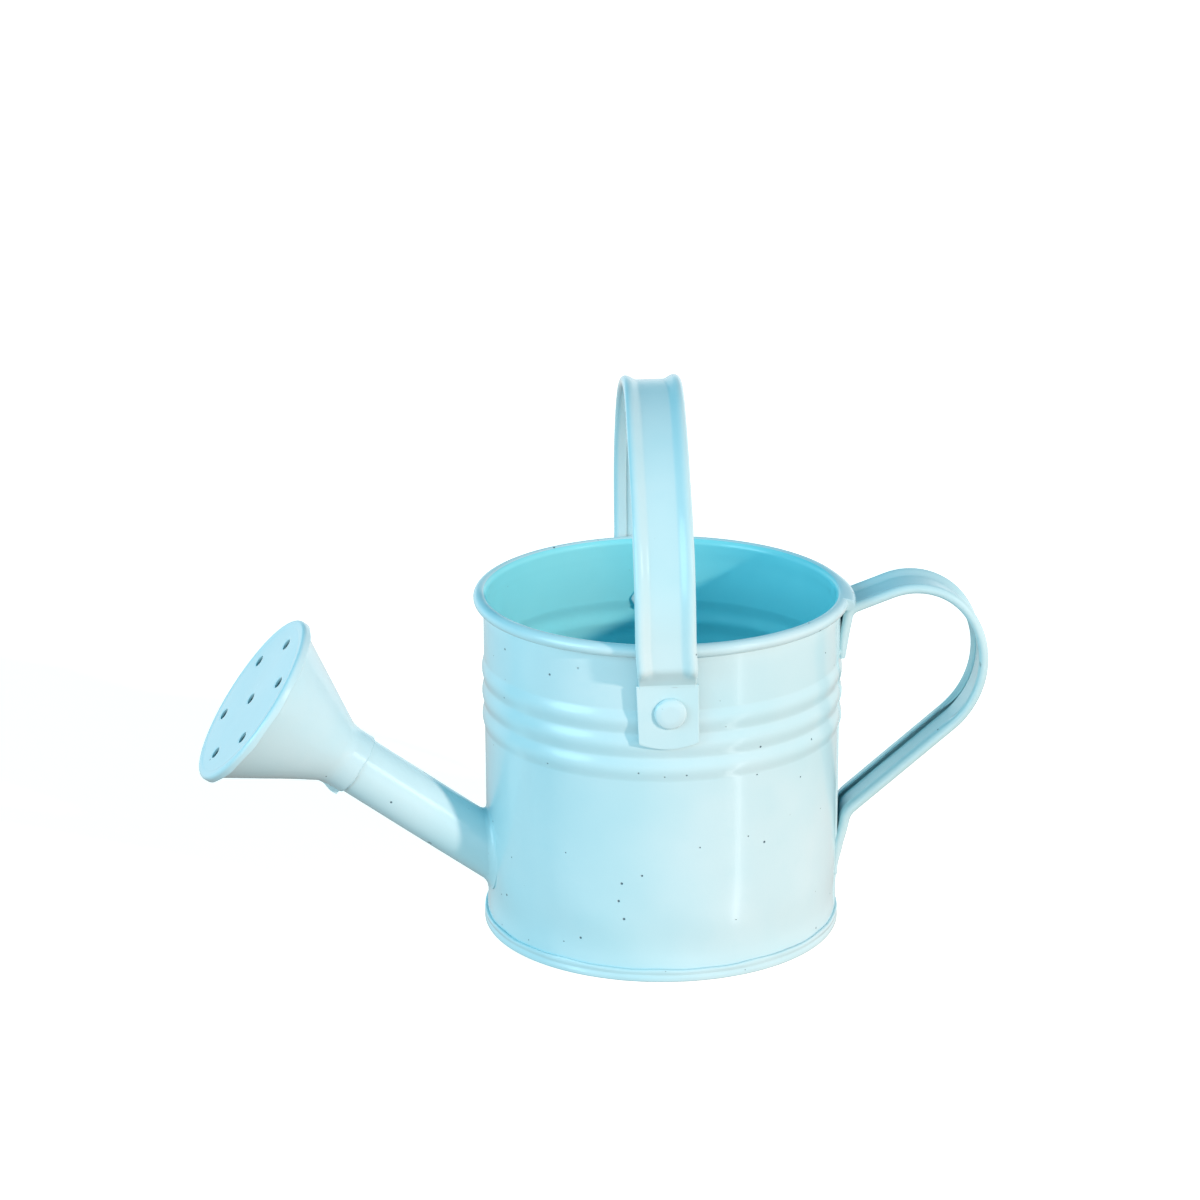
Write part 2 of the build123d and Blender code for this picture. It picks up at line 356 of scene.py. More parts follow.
def rod(name, radius, start, end, origin, x_dir, y_dir, z_dir, count=96):
    """A closed cylinder used only to cut."""
    ring = arc((0, 0), radius, 0, 360, count + 1)[:-1]
    low = np.column_stack([ring, np.full(count, start)])
    high = np.column_stack([ring, np.full(count, end)])
    index = np.arange(count)
    sides = np.stack([index, np.roll(index, -1), np.roll(index, -1) + count, index + count], 1)
    faces = sides.tolist() + [index[::-1].tolist(), (index + count).tolist()]
    verts = placed(np.concatenate([low, high]), origin, x_dir, y_dir, z_dir)
    return plain_object(name, verts, faces)


# ---- directions ----
X, Y, Z = np.eye(3)
ALONG = np.array([
    -math.cos(SPOUT_YAW) * math.cos(SPOUT_TILT),
    -math.sin(SPOUT_YAW) * math.cos(SPOUT_TILT),
    math.sin(SPOUT_TILT),
])
ACROSS = np.array([math.sin(SPOUT_YAW), -math.cos(SPOUT_YAW), 0.0])
OVER = np.cross(ALONG, ACROSS)


def on_spout(mesh):
    verts, faces = mesh
    return placed(verts, SPOUT_ORIGIN, ACROSS, OVER, ALONG), faces


# ---- paint ----
TONE = (0.55, 0.80, 0.85)
# painted shade: a deeper, more saturated copy of the tone, standing in for the shade inside the can
INSIDE_SHADE_TONE = (0.24, 0.79, 0.87)
RUBBED_TONE = (0.16, 0.24, 0.27)
PIT_TONE = (0.09, 0.17, 0.21)


def scaled(tone, *factors):
    return tuple(c * k for c, k in zip(tone, factors))


def paint(name, tone, chips=1.0, coat=0.2, pinholes=0.5):
    """Gloss enamel on tin: slow colour drift, pinholes, worn edges, orange peel and soft dents."""
    material = bpy.data.materials.new(name)
    material.use_nodes = True
    tree = material.node_tree
    shader = tree.nodes["Principled BSDF"]

    def node(kind, **values):
        made = tree.nodes.new(kind)
        for key, value in values.items():
            if key in made.inputs:
                made.inputs[key].default_value = value
            else:
                setattr(made, key, value)
        return made

    def link(a, b):
        tree.links.new(a, b)

    def noise(scale, detail, rough=0.5):
        made = node("ShaderNodeTexNoise", Scale=scale, Detail=detail, Roughness=rough)
        link(coords.outputs["Object"], made.inputs["Vector"])
        return made.outputs["Fac"]

    def ranged(value, low, high, to_low=0.0, to_high=1.0):
        made = node("ShaderNodeMapRange")
        made.inputs["From Min"].default_value = low
        made.inputs["From Max"].default_value = high
        made.inputs["To Min"].default_value = to_low
        made.inputs["To Max"].default_value = to_high
        link(value, made.inputs["Value"])
        return made.outputs["Result"]

    def times(a, b):
        made = node("ShaderNodeMath", operation="MULTIPLY")
        link(a, made.inputs[0])
        link(b, made.inputs[1])
        return made.outputs["Value"]

    def mixed(share, a, b):
        made = node("ShaderNodeMix", data_type="RGBA")
        link(share, made.inputs[0])
        for socket, value in ((made.inputs[6], a), (made.inputs[7], b)):
            if isinstance(value, tuple):
                socket.default_value = (*value, 1)
            else:
                link(value, socket)
        return made.outputs[2]

    coords = node("ShaderNodeTexCoord")
    deep = scaled(tone, 0.87, 0.955, 0.97)
    pale = scaled(tone, 1.05, 1.012, 1.008)
    colour = mixed(ranged(noise(22, 3), 0.35, 0.68), deep, pale)
    colour = mixed(ranged(noise(160, 4), 0.56, 0.74, 0, 0.22), colour, deep)

    # pinholes: small dark pits at a few of the cells' centres
    cells = node("ShaderNodeTexVoronoi", Scale=190.0)
    link(coords.outputs["Object"], cells.inputs["Vector"])
    which = node("ShaderNodeSeparateColor")
    link(cells.outputs["Color"], which.inputs[0])
    chosen = ranged(which.outputs[0], 1 - pinholes, 1.01 - pinholes)
    reach = ranged(which.outputs[1], 0, 1, 0.03, 0.085)
    depth = node("ShaderNodeMath", operation="DIVIDE")
    link(cells.outputs["Distance"], depth.inputs[0])
    link(reach, depth.inputs[1])
    near = ranged(depth.outputs["Value"], 0.65, 1.0, 1.0, 0.0)
    pits = times(chosen, near)

    # worn edges: the paint is thin and chipped where the surface turns sharply
    shape = node("ShaderNodeNewGeometry")
    edge = ranged(shape.outputs["Pointiness"], 0.53, 0.60)
    rubbed = times(edge, ranged(noise(420, 2), 0.60, 0.68, 0, chips))
    thin = times(edge, ranged(noise(90, 2), 0.40, 0.75, 0, 0.35))
    colour = mixed(thin, colour, tuple(min(1, c * 1.12 + 0.04) for c in tone))
    colour = mixed(rubbed, colour, RUBBED_TONE)
    colour = mixed(pits, colour, PIT_TONE)
    link(colour, shader.inputs["Base Color"])

    rough = node("ShaderNodeMath", operation="ADD")
    link(ranged(noise(35, 3), 0.3, 0.7, 0.17, 0.27), rough.inputs[0])
    link(times(ranged(rubbed, 0, 1, 0, 0.4), ranged(edge, 0, 1)), rough.inputs[1])
    link(rough.outputs[0], shader.inputs["Roughness"])

    def bumped(height, strength, distance, under=None, invert=False):
        made = node("ShaderNodeBump", Strength=strength, Distance=distance, invert=invert)
        link(height, made.inputs["Height"])
        if under:
            link(under, made.inputs["Normal"])
        return made.outputs["Normal"]

    normal = bumped(noise(26, 1), 0.35, 0.0009)
    normal = bumped(noise(150, 2), 0.3, 0.00012, normal)
    normal = bumped(noise(1100, 1), 0.22, 0.00004, normal)
    normal = bumped(pits, 0.8, 0.0003, normal, invert=True)
    link(normal, shader.inputs["Normal"])
    shader.inputs["Coat Weight"].default_value = coat
    shader.inputs["Coat Roughness"].default_value = 0.08
    shader.inputs["IOR"].default_value = 1.52
    return material


can_paint = paint("can_enamel", TONE, pinholes=0.9)
# painted shade: the inside's deeper paint stands in for the shade and bounced light inside the can
inside_shade_paint = paint("inside_shade_enamel", INSIDE_SHADE_TONE, chips=0.5, coat=0.02, pinholes=0.15)
rose_paint = paint("rose_enamel", scaled(TONE, 1.0, 0.99, 0.995), chips=0.25, pinholes=0.12)
handle_paint = paint("handle_enamel", scaled(TONE, 1.0, 1.0, 0.995), chips=0.55, pinholes=0.2)
rivet_paint = paint("rivet_enamel", scaled(TONE, 1.02, 1.0, 1.0), chips=0.8, pinholes=0.1)


# ---- can wall ----
def waves(turn, height):
    """The slow unevenness of rolled tin, in millimetres."""
    return (
        0.10 * np.sin(2 * turn + 0.6)
        + 0.05 * np.sin(3 * turn + 2.1 + height / 60)
        + 0.03 * np.sin(5 * turn + 0.4 - height / 35)
        + 0.02 * np.sin(9 * turn + 1.3 + height / 22)
        + 0.13 * np.sin(10 * turn + height / 6) * np.exp(-(((height - 15) / 13) ** 2))
    )


def bead_profile(z):
    """How far the pressed beads stand out at height z."""
    phase = (z - BEADS_FOOT) / BEAD_PITCH
    inside = (z > BEADS_FOOT) & (z < BEADS_TOP)
    ridge = (0.5 - 0.5 * np.cos(2 * np.pi * phase)) ** 0.8
    return np.where(inside, BEAD_RISE * ridge, 0)


def wall_line():
    """The middle of the wall's sheet as (radius, height), from the foot to the end of the curl."""
    middle = CAN_RADIUS - TIN / 2
    heights = np.concatenate([
        np.arange(WALL_FOOT, BEADS_FOOT - 0.5, 1.1),
        np.arange(BEADS_FOOT - 0.4, BEADS_TOP + 0.5, 0.23),
        np.arange(BEADS_TOP + 1.2, RIM_NECK - 0.4, 1.0),
    ])
    side = np.stack([middle + bead_profile(heights), heights], 1)
    centre = (RIM_CENTRE, RIM_TOP - RIM_CURL)
    curl = RIM_CURL - TIN / 2
    out, rise = centre[0] - middle, centre[1] - RIM_NECK
    start = math.degrees(math.asin(curl / math.hypot(out, rise)) + math.atan2(rise, out)) + 90
    roll = arc(centre, curl, start, RIM_CURL_END, 54)
    lean = straight((middle, RIM_NECK), roll[0], 0.7)
    return np.concatenate([side, lean, roll])


def wall_angles():
    """Even turns, and closer ones at the overlap's two edges."""
    even = even_turn(512)
    near_outer = LAP_OUTER + np.radians(np.linspace(-0.5, 6.5, 71))
    near_inner = LAP_INNER + np.radians(np.linspace(-0.3, 0.3, 7))
    turns = np.concatenate([even, near_outer % (2 * np.pi), near_inner])
    return np.sort(np.unique(np.round(turns, 6)))


def make_wall():
    """The rolled wall with its beads, overlap, curled rim and holes."""
    line = wall_line()
    outline = thick(line, TIN)
    count = len(line)
    # thick() gives the line's left side first, which is the can's inside
    inner_side = np.zeros(len(outline), bool)
    inner_side[:count] = True
    curl_foot = RIM_TOP - RIM_CURL - RIM_CURL

    def uneven(turn, radius, height):
        signed = (turn + np.pi) % (2 * np.pi) - np.pi
        # the outer edge of the overlap runs straight down and slips under the handle at the beads
        edge = LAP_OUTER + LAP_SLIP * smooth((LAP_SLIP_TOP - height) / LAP_SLIP_RUN)
        over_outer = smooth((signed - edge) / np.radians(0.22) + 0.5)
        over_inner = smooth((signed - LAP_INNER) / np.radians(0.3) + 0.5)
        fade = 1 - smooth((signed - LAP_INNER) / LAP_FADE)
        over = np.where(inner_side, 0.45 * over_inner, over_outer) * (signed > -1)
        step = LAP_STEP * fade * over
        # the curl is rolled from both layers there, so it stands out at the overlap's edge
        on_curl = smooth((height - RIM_NECK - 1) / (curl_foot - RIM_NECK - 1))
        tail = 1 - smooth((signed - LAP_OUTER) / RIM_SWELL_TAIL)
        outwards = smooth((radius - 50.3) / 2.5)
        swell = RIM_SWELL * over_outer * tail * (signed > -1) * outwards * on_curl
        waist = -WAIST_DEPTH * np.exp(-(((height - WAIST_AT) / 6.0) ** 2))
        low_end = smooth((height - 2) / 6)
        soft = waves(turn, height) * low_end * (1 - 0.6 * on_curl)
        radius = radius + step * low_end * (1 - on_curl) + swell + waist * low_end + soft
        return radius, height + 0 * turn

    mesh = lathe(outline, wall_angles(), uneven)
    wall = plain_object("can_wall", *mesh)
    spout_bore = SPOUT_RADIUS - SPOUT_SHEET
    cutters = [rod("cut_spout", spout_bore, 45, 80, SPOUT_ORIGIN, ACROSS, OVER, ALONG)]
    origin = np.array([PIVOT[0], 0, PIVOT[1]])
    for side in (-1, 1):
        name = f"cut_rivet{side}"
        cutters.append(rod(name, RIVET_RADIUS, 45, 55, origin, X, side * Z, side * Y, 48))
    cut(wall, cutters)
    piece(wall, "can", ["body_wall"], "can_paint", can_paint)
    paint_inside_shade(wall)


# ---- base ----
def make_base():
    """The pressed base, its edge seamed round the foot of the wall."""
    corners = [
        (0.0, FLOOR_TOP, 0),
        (47.9, FLOOR_TOP, 1.3),
        (49.42, 4.9, 0.2),
        (49.75, 4.6, 0),
        (49.75, 2.4, 0.3),
        (50.02, 2.4, 0.1),
        (50.02, 3.86, 0.1),
        (FOOT_RADIUS - 0.12, FOOT_HEIGHT, 0.42),
        (FOOT_RADIUS - 0.02, 2.9, 0.4),
        (FOOT_RADIUS - 0.22, 2.1, 0.5),
        (FOOT_RADIUS, 1.2, 0.4),
        (FOOT_RADIUS - 0.05, 0.0, 0.55),
        (49.1, 0.0, 0.45),
        (48.75, 2.72, 0.7),
        (40.0, 2.72, 3.0),
        (38.8, FLOOR_UNDER, 3.0),
        (0.0, FLOOR_UNDER, 0),
    ]
    outline = rounded(corners, 0.9, closed=True)

    def wavy(turn, radius, height):
        seam = radius > 49.9
        edge = bump(height, FOOT_HEIGHT, 1.3) * seam
        ripple = (
            0.10 * np.sin(11 * turn + 0.7)
            + 0.08 * np.sin(23 * turn + 2.0)
            + 0.07 * np.sin(5 * turn)
        )
        foot = seam * smooth((height - 0.3) / 1.5)
        radius = radius + 0.04 * np.sin(17 * turn + height) * foot - 0.04 * foot
        return radius, height + edge * (ripple - 0.2)

    base = plain_object("can_base", *lathe(outline, even_turn(540), wavy))
    piece(base, "can", ["base_plate"], "can_paint", can_paint)
    paint_inside_shade(base)


# ---- spout ----
def from_below(turn):
    """Degrees round from the spout's underside."""
    return np.degrees((turn + np.pi / 2 + np.pi) % (2 * np.pi) - np.pi)


def root_distance(turn, radius):
    """How far along the spout its surface at this angle meets the can's wall."""
    side = radius * (np.cos(turn)[..., None] * ACROSS + np.sin(turn)[..., None] * OVER)
    a = ALONG[0] ** 2 + ALONG[1] ** 2
    b = 2 * (side[..., 0] * ALONG[0] + side[..., 1] * ALONG[1])
    c = side[..., 0] ** 2 + side[..., 1] ** 2 - CAN_RADIUS**2
    return (-b + np.sqrt(b * b - 4 * a * c)) / (2 * a)


def make_spout():
    """The open tube, its root cut to the shape of the wall."""
    turn = even_turn(160)[:, None]
    root = root_distance(turn[:, 0], SPOUT_RADIUS)[:, None]
    share = np.concatenate([np.linspace(0, 0.3, 26), np.linspace(0.3, 1, 40)[1:]])[None, :]
    start = root - 0.35
    half = SPOUT_SHEET / 2
    along = start + (SPOUT_END - half - start) * share
    # the tube's long seam lies underneath
    seam = SPOUT_SEAM * bump(from_below(turn), 0, 9)
    tube = SPOUT_RADIUS - 0.03 + 0.03 * np.sin(along / 9 + turn) + seam * smooth((along - root) / 3)
    outer = tube - seam * smooth((along - COLLAR_START + 6) / 4)
    inner = outer - SPOUT_SHEET
    tip = np.radians([60, 30, 0, -30, -60])
    tip_radius = (outer[:, -1:] + inner[:, -1:]) / 2 + half * np.sin(tip)
    tip_along = along[:, -1:] + half * np.cos(tip)
    radius = np.concatenate([outer, tip_radius, inner[:, ::-1]], 1)
    height = np.concatenate([along, tip_along, along[:, ::-1]], 1)
    points = np.stack([radius * np.cos(turn), radius * np.sin(turn), height], -1)
    spout = plain_object("spout_tube", *on_spout(grid(points, True)))
    piece(spout, "can", ["spout_tube"], "can_paint", can_paint)


def make_solder():
    """The fillet from the spout's tube to the wall, one loop of small cross-sections."""
    turn = even_turn(200)
    reach = SOLDER_REACH + 0.25 * np.sin(3 * turn + 1) + 0.15 * np.sin(7 * turn + 2)
    corner_at = root_distance(turn, SPOUT_RADIUS)
    radial = np.cos(turn)[:, None] * ACROSS + np.sin(turn)[:, None] * OVER
    corner = SPOUT_ORIGIN + SPOUT_RADIUS * radial + corner_at[:, None] * ALONG
    on_tube = corner + reach[:, None] * ALONG + 0.02 * radial
    # on the wall the fillet's edge lies away from the tube, measured along the wall
    wall_out = corner * [1, 1, 0]
    wall_out /= np.linalg.norm(wall_out, axis=1)[:, None]
    flat = radial - (radial * wall_out).sum(1)[:, None] * wall_out
    flat /= np.linalg.norm(flat, axis=1)[:, None]
    on_wall = corner + (reach * 0.95)[:, None] * flat
    size = np.linalg.norm(on_wall[:, :2], axis=1)
    on_wall[:, :2] *= ((CAN_RADIUS + 0.12) / size)[:, None]
    share = np.linspace(0, 1, 13)[None, :, None]
    pull = corner + 0.16 * (on_tube - corner) + 0.16 * (on_wall - corner)
    curve = (
        (1 - share) ** 2 * on_tube[:, None]
        + 2 * share * (1 - share) * pull[:, None]
        + share**2 * on_wall[:, None]
    )
    inside = corner - 0.25 * wall_out - 0.25 * radial
    sink_wall = on_wall - 0.3 * wall_out
    sink_tube = on_tube - 0.2 * radial
    under = np.stack([sink_wall, inside, sink_tube], 1)
    points = np.concatenate([curve, under], 1)
    solder = plain_object("spout_solder", *grid(points, True))
    piece(solder, "can", ["spout_solder"], "can_paint", can_paint, sharp=60)


# ---- rose ----
def make_rose_cone():
    """The cone and its collar, which slips over the tube."""
    middle = COLLAR_BORE + ROSE_SHEET / 2
    mouth = (FACE_RADIUS - 0.9, FACE_AT - 0.95)
    rise = mouth[0] - middle - COLLAR_BLEND
    run = mouth[1] - COLLAR_END
    flare = math.degrees(math.atan2(rise, run) + math.asin(COLLAR_BLEND / math.hypot(rise, run)))
    blend = arc((middle + COLLAR_BLEND, COLLAR_END), COLLAR_BLEND, 180, 180 - flare, 18)
    line = np.concatenate([
        straight((middle, COLLAR_START + 0.25), (middle, COLLAR_END), 0.5),
        blend[:-1],
        straight(blend[-1], mouth, 0.6),
    ])
    outline = thick(line, ROSE_SHEET - 0.1)

    def uneven(turn, radius, height):
        under = from_below(turn)
        # the lap of the cone's sheet, a small step along its underside
        step = ROSE_LAP * smooth((under + 2) / 1.6) * (1 - smooth((under - 2) / 14))
        far = smooth((height - COLLAR_START) / 3) * (1 - smooth((height - 141.5) / 2))
        dent = 0.22 * np.sin(2 * turn + 0.8) + 0.10 * np.sin(3 * turn + 2.2 + height / 9)
        soft = dent * smooth((height - 116) / 10) * (1 - smooth((height - 140) / 4))
        # the collar's cut end is a little ragged, and opened out to a fine gap round the tube
        mouth_end = 1 - smooth((height - COLLAR_START) / 1.6)
        ragged = 0.22 * np.sin(3 * turn + 1) + 0.12 * np.sin(8 * turn)
        opened = 0.34 * mouth_end * (radius < middle)
        return radius + step * far + soft + opened, height + (0.3 + ragged) * mouth_end

    cone = lathe(outline, even_turn(320), uneven)
    flap = make_collar_flap(middle)
    obj = plain_object("rose_cone", *on_spout(join(cone, flap)))
    piece(obj, "rose", ["rose_cone"], "rose_paint", rose_paint)


def make_collar_flap(middle):
    """The lap's loose end under the collar, standing a little proud."""
    along = np.linspace(COLLAR_START + 0.05, COLLAR_START + 6.2, 26)
    lift = FLAP_LIFT * (1 - smooth((along - COLLAR_START - 1.6) / 4.4)) + 0.18
    cone_radius = middle + ROSE_SHEET / 2 - 0.05
    over_blend = np.maximum(along - COLLAR_END, 0)
    swell = COLLAR_BLEND - np.sqrt(COLLAR_BLEND**2 - over_blend**2)
    across = np.linspace(-FLAP_HALF_ANGLE, FLAP_HALF_ANGLE, 18)
    edge = smooth((FLAP_HALF_ANGLE - np.abs(across)) / 3.5)
    turn = np.radians(-90 + np.concatenate([across, across[::-1]]))
    rows = []
    for s, up, grow in zip(along, lift, swell):
        outer = cone_radius + grow + 0.05 + up * edge
        inner = np.full_like(across, cone_radius + grow - 0.35)
        radius = np.concatenate([outer, inner])
        height = np.full_like(turn, s)
        rows.append(np.stack([radius * np.cos(turn), radius * np.sin(turn), height], 1))
    verts, faces = grid(np.array(rows), False)
    width = len(rows[0])
    last = len(verts) - width
    caps = [list(range(width))[::-1], [last + i for i in range(width)]]
    return verts, faces.tolist() + caps


def hole_places():
    """The middle hole and the ring of holes round it."""
    places = [(0.0, 0.0)]
    for i in range(HOLE_COUNT):
        turn = HOLE_TURN + i * 2 * math.pi / HOLE_COUNT
        places.append((HOLE_RING * math.cos(turn), HOLE_RING * math.sin(turn)))
    return places


def make_rose_face():
    """The disc with its rolled edge and its holes."""
    front = FACE_AT - 0.3
    line = rounded([
        (0.0, front - 0.12, 0),
        (23.1, front - 0.12, 2.0),
        (23.9, front, 0.7),
        (FACE_RADIUS - 0.3, front, 0.75),
        (FACE_RADIUS - 0.32, FACE_AT - FACE_DEPTH, 0),
    ], 0.4)
    line = line[line[:, 0] > 0.2]
    outline = thick(line, FACE_SHEET)
    outline[outline[:, 0] < 0.25, 0] = 0.0
    places = hole_places()

    def pressed(turn, radius, height):
        x, y = radius * np.cos(turn), radius * np.sin(turn)
        dip = 0 * x
        for cx, cy in places:
            away = np.hypot(x - cx, y - cy)
            dip = np.maximum(dip, HOLE_DIP * smooth(1 - (away - HOLE_RADIUS) / 0.7))
        inner = 1 - smooth((radius - 21) / 2)
        rim = 0.12 * np.sin(13 * turn + 1) * bump(height, FACE_AT - FACE_DEPTH, 0.9) * (radius > 25)
        soft = 0.10 * np.sin(x / 9 + 1) * np.sin(y / 8) * inner
        return radius + 0.0 * turn, height - dip * inner + rim + soft

    face = plain_object("rose_face", *on_spout(lathe(outline, even_turn(400), pressed)))
    cutters = []
    for number, (x, y) in enumerate(places):
        origin = SPOUT_ORIGIN + x * ACROSS + y * OVER
        name = f"cut_hole{number}"
        cutters.append(rod(name, HOLE_RADIUS, 140, 150, origin, ACROSS, OVER, ALONG, 40))
    cut(face, cutters)
    piece(face, "rose", ["rose_face"], "rose_paint", rose_paint)


# ---- strips ----
def strip_line(width, crest, hem, lip_gap):
    """The middle line of a hemmed strip's section: across, and outwards from the web."""
    roll = (crest + hem) / 2
    roll_x = width / 2 - STRIP_SHEET / 2 - roll
    flat = np.stack([np.linspace(0, STRIP_WEB, 7)[:-1], np.zeros(6)], 1)
    share = np.linspace(0, 1, 15)
    slope = np.stack([STRIP_WEB + (roll_x - STRIP_WEB) * share, crest * smooth(share)], 1)
    turn = arc((roll_x, (crest - hem) / 2), roll, 90, -90, 15)[1:]
    lip_end = width / 2 - STRIP_REACH
    lip_y = np.linspace(-hem, -(STRIP_SHEET + lip_gap), 6)[1:]
    lip = np.stack([np.linspace(roll_x, lip_end, 6)[1:], lip_y], 1)
    half = np.concatenate([flat, slope, turn, lip])
    return np.concatenate([(half * [-1, 1])[:0:-1], half])


def strip_section(width, crest, hem, lip_gap, sheet=STRIP_SHEET):
    return thick(strip_line(width, crest, hem, lip_gap), sheet, STRIP_TIP)


def strip_mesh(centres, outs, across, sections):
    """Sections of equal point count set along a line, with both ends closed by a band of quads."""
    rows = [c + s[:, :1] * across + s[:, 1:] * o for c, o, s in zip(centres, outs, sections)]
    verts, faces = grid(np.array(rows), False)
    width = len(sections[0])
    tip = STRIP_TIP
    side = (width - 2 * tip) // 2
    caps = []
    for start in (0, len(verts) - width):
        left = [start + i for i in range(side)]
        right = [start + width - tip - 1 - i for i in range(side)]
        for i in range(side - 1):
            caps.append([left[i], left[i + 1], right[i + 1], right[i]])
        caps.append([left[-1]] + [start + side + i for i in range(tip)] + [right[-1]])
        caps.append([right[0]] + [start + width - tip + i for i in range(tip)] + [left[0]])
    return verts, faces.tolist() + caps


def end_rounding(length_from_end):
    """How much of its thickness a sheet keeps near a cut end."""
    return 0.62 + 0.38 * np.sqrt(1 - np.clip(1 - length_from_end / 0.22, 0, 1) ** 2)


# ---- bail ----
def bail_path():
    """Half of the bail's line as (y, z), from the front tab to the crown, and the way out."""
    arch_z = BAIL_CROWN - LEG_Y - STRIP_CREST - STRIP_SHEET / 2
    low = rounded([
        (-(TAB_Y + 0.12), TAB_TOP - 0.6, 0),
        (-(TAB_Y + 0.2), TAB_TOP + 0.3, 0.8),
        (-LEG_Y, JOGGLE_TOP, 3.2),
        (-LEG_Y, arch_z, 0),
    ], 0.35)
    arch = arc((0, arch_z), LEG_Y, 180, 90, 110)[1:]
    line = np.concatenate([low, arch])
    return line, directions(line)[1]


def tab_plate():
    """The flat end of the bail, centred on its rivet hole, its front towards the third axis."""
    half = TAB_WIDTH / 2
    foot = TAB_BOTTOM - PIVOT[1]
    corner = foot + TAB_SAG
    top = TAB_TOP - PIVOT[1]
    radius = (half**2 + TAB_SAG**2) / (2 * TAB_SAG)
    sweep = math.degrees(math.asin(half / radius))
    sag = arc((0, foot + radius), radius, -90 - sweep, -90 + sweep, 25)
    border = np.concatenate([sag, [[half, top]], [[-half, top]]])
    # its left edge leans in towards the foot
    left = border[:, 0] < 0
    corner_turns = np.arctan2(border[:, 1], border[:, 0] + TAB_LEAN * (left & (border[:, 1] < 0)))
    border[:, 0] += TAB_LEAN * left * (top - border[:, 1]) / (top - corner)
    turns = np.concatenate([even_turn(180), corner_turns % (2 * np.pi)])
    turns = np.sort(np.unique(np.round(turns, 5)))
    looped = np.concatenate([border, border[:1]])
    side = np.diff(looped, axis=0)
    half_sheet, soft = TAB_HALF_SHEET, TAB_SOFT_EDGE
    bore = RIVET_RADIUS + RIVET_PLAY
    rows = []
    for turn in turns:
        # where the ray from the hole's centre leaves the border
        ray = np.array([math.cos(turn), math.sin(turn)])
        cross = ray[0] * side[:, 1] - ray[1] * side[:, 0]
        cross = np.where(np.abs(cross) < 1e-9, 1e-9, cross)
        reach = (looped[:-1, 0] * side[:, 1] - looped[:-1, 1] * side[:, 0]) / cross
        along = (looped[:-1, 0] * ray[1] - looped[:-1, 1] * ray[0]) / cross
        hit = (along > -1e-6) & (along < 1 + 1e-6) & (reach > 0)
        edge = reach[hit].min()
        front = [(bore, half_sheet - 0.12), (bore + 0.12, half_sheet)]
        front += [(r, half_sheet) for r in np.linspace(bore + 0.6, edge - 0.6, 12)]
        front += [(edge - soft, half_sheet)]
        for t in (0.5, 1.05):
            front.append((edge - soft * (1 - math.sin(t)), half_sheet - soft * (1 - math.cos(t))))
        front += [(edge, half_sheet - soft)]
        loop = front + [(r, -h) for r, h in reversed(front)]
        rows.append([(r * ray[0], r * ray[1], h) for r, h in loop])
    return grid(np.array(rows), True)


def make_bail():
    """The arched strip and its two flat ends."""
    line, out = bail_path()
    arch_top = len(line) - 1
    line = np.concatenate([line, (line * [-1, 1])[arch_top - 1::-1]])
    out = np.concatenate([out, (out * [-1, 1])[arch_top - 1::-1]])
    length = lengths(line)
    from_end = np.minimum(length, length[-1] - length)
    centres, sections = [], []
    for (y, z), s in zip(line, from_end):
        # from the tab up, the flattened end opens out into the hemmed strip
        opened = float(smooth((z - TAB_TOP - 1.2) / 4.6))
        crest = 0.02 + (STRIP_CREST - 0.02) * opened
        hem = 0.42 + (STRIP_HEM - 0.42) * opened
        widened = float(smooth((z - TAB_TOP) / 6))
        width = BAIL_NECK_WIDTH + (BAIL_WIDTH - BAIL_NECK_WIDTH) * widened
        nick = 0.10 * math.sin(s / 13) + 0.06 * math.sin(s / 5.3 + 1)
        lip_gap = -0.05 * opened - 0.18 * (1 - opened)
        sections.append(strip_section(width + nick * 0.5, crest, hem, lip_gap))
        # bent by hand: the front leg leans a little towards the spout, the back one away from it
        share = (1 + y / LEG_Y) / 2
        rise = float(smooth((z - TAB_TOP) / 14))
        bend = -0.55 * (1 - smooth((share - 0.12) / 0.45)) + 0.5 * smooth((share - 0.1) / 0.5)
        centres.append([bend * rise, y, z])
    outs = np.stack([np.zeros(len(out)), out[:, 0], out[:, 1]], 1)
    parts = [strip_mesh(np.array(centres), outs, X, sections)]
    plate, faces = tab_plate()
    for side in (-1, 1):
        origin = np.array([0, side * (TAB_Y + 0.02), PIVOT[1]])
        parts.append((placed(plate, origin, X, Z, side * Y), faces))
    verts, faces = join(*parts)
    turn = np.array([
        [math.cos(BAIL_LEAN), 0, -math.sin(BAIL_LEAN)],
        [0, 1, 0],
        [math.sin(BAIL_LEAN), 0, math.cos(BAIL_LEAN)],
    ])
    pivot = np.array([0, 0, PIVOT[1]])
    verts = (verts - pivot) @ turn.T + pivot + [PIVOT[0], 0, 0]
    bail = plain_object("bail", verts, faces)
    piece(bail, "bail", ["bail_handle"], "handle_paint", handle_paint)


